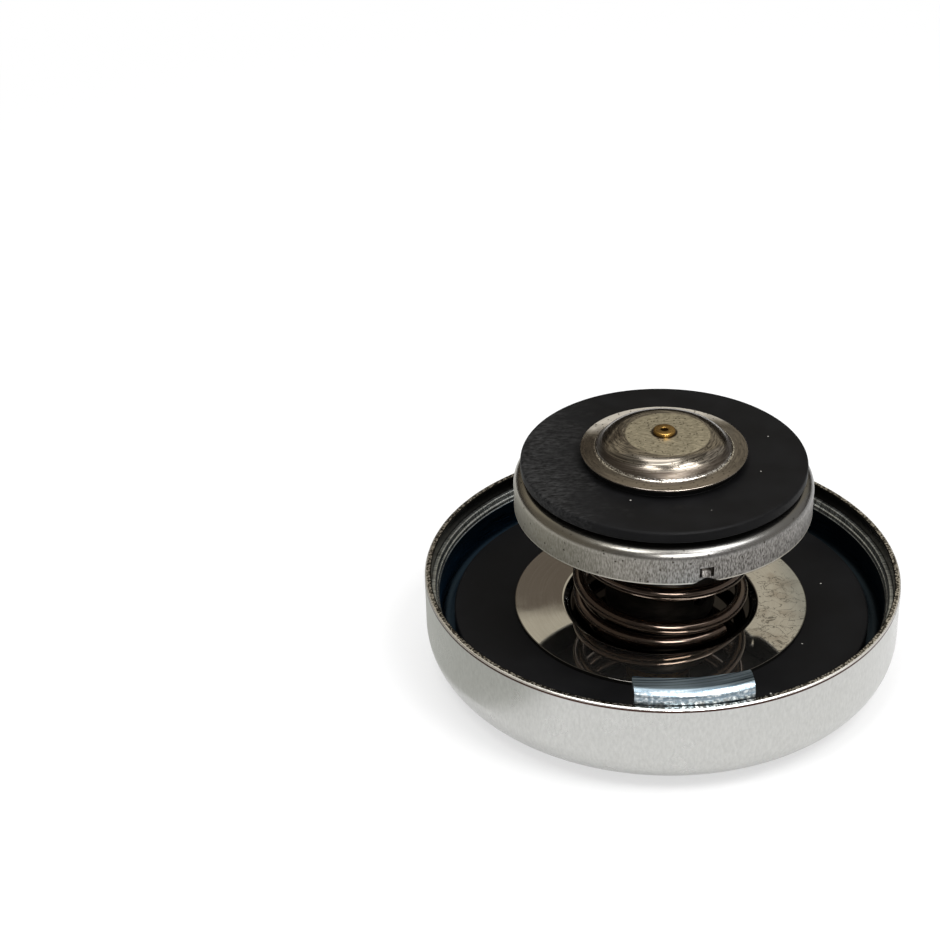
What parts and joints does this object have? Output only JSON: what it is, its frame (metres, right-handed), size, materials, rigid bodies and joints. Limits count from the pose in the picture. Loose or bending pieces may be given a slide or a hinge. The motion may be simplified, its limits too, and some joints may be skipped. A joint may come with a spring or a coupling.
{
  "type": "radiator cap",
  "caption": "Round bayonet radiator pressure cap with a plain polished cover, locking tabs, neck gasket and a sprung pressure valve that carries a vacuum valve.",
  "frame": {"origin": "centre of the cover's flat outer face, which the cap lies on", "axes": "+Z along the cap's axis, from the outer face towards the valve; the locking tabs lie on -Y and +Y"},
  "size_m": [0.068, 0.068, 0.0368],
  "materials": {
    "polished_chrome": "polished",
    "zinc_plate": "blue-passivated zinc",
    "gasket_rubber": "satin",
    "stainless_disc": "mirror",
    "plain_steel": "dull",
    "dark_steel": "dark",
    "spring_wire": "oil-tempered",
    "cup_steel": "dull drawn",
    "seal_rubber": "matt",
    "turned_brass": "turned",
    "fine_wire": "drawn",
    "hat_steel": "line brushed"
  },
  "bodies": {
    "cap": {"cover": "polished_chrome", "locking_shell": "zinc_plate", "neck_gasket": "gasket_rubber", "spring_disc": "stainless_disc", "spacer_washer": "plain_steel", "centre_rivet": "plain_steel"},
    "stem": {"bell": "dark_steel", "pressure_spring": "spring_wire"},
    "pressure_valve": {"valve_cup": "cup_steel", "spring_seat": "plain_steel", "pressure_seal": "seal_rubber", "seal_washer": "plain_steel", "valve_post": "turned_brass", "vacuum_spring": "fine_wire"},
    "vacuum_valve": {"vacuum_hat": "hat_steel", "vacuum_stem": "turned_brass", "stem_keeper": "plain_steel"}
  },
  "joints": [
    {"name": "stem_swivel", "type": "hinge", "parent": "cap", "child": "stem", "pos_m": [0, 0, 0.0087], "axis": [0, 0, 1], "continuous": true},
    {"name": "pressure_lift", "type": "slide", "parent": "stem", "child": "pressure_valve", "axis": [0, 0, -1], "range_m": [0, 0.005], "stiffness_N_per_m": 4000, "springref_m": -0.01, "deforming": ["pressure_spring"]},
    {"name": "vacuum_lift", "type": "slide", "parent": "pressure_valve", "child": "vacuum_valve", "axis": [0, 0, 1], "range_m": [0, 0.0016], "stiffness_N_per_m": 150, "springref_m": -0.002, "deforming": ["vacuum_spring"]}
  ]
}
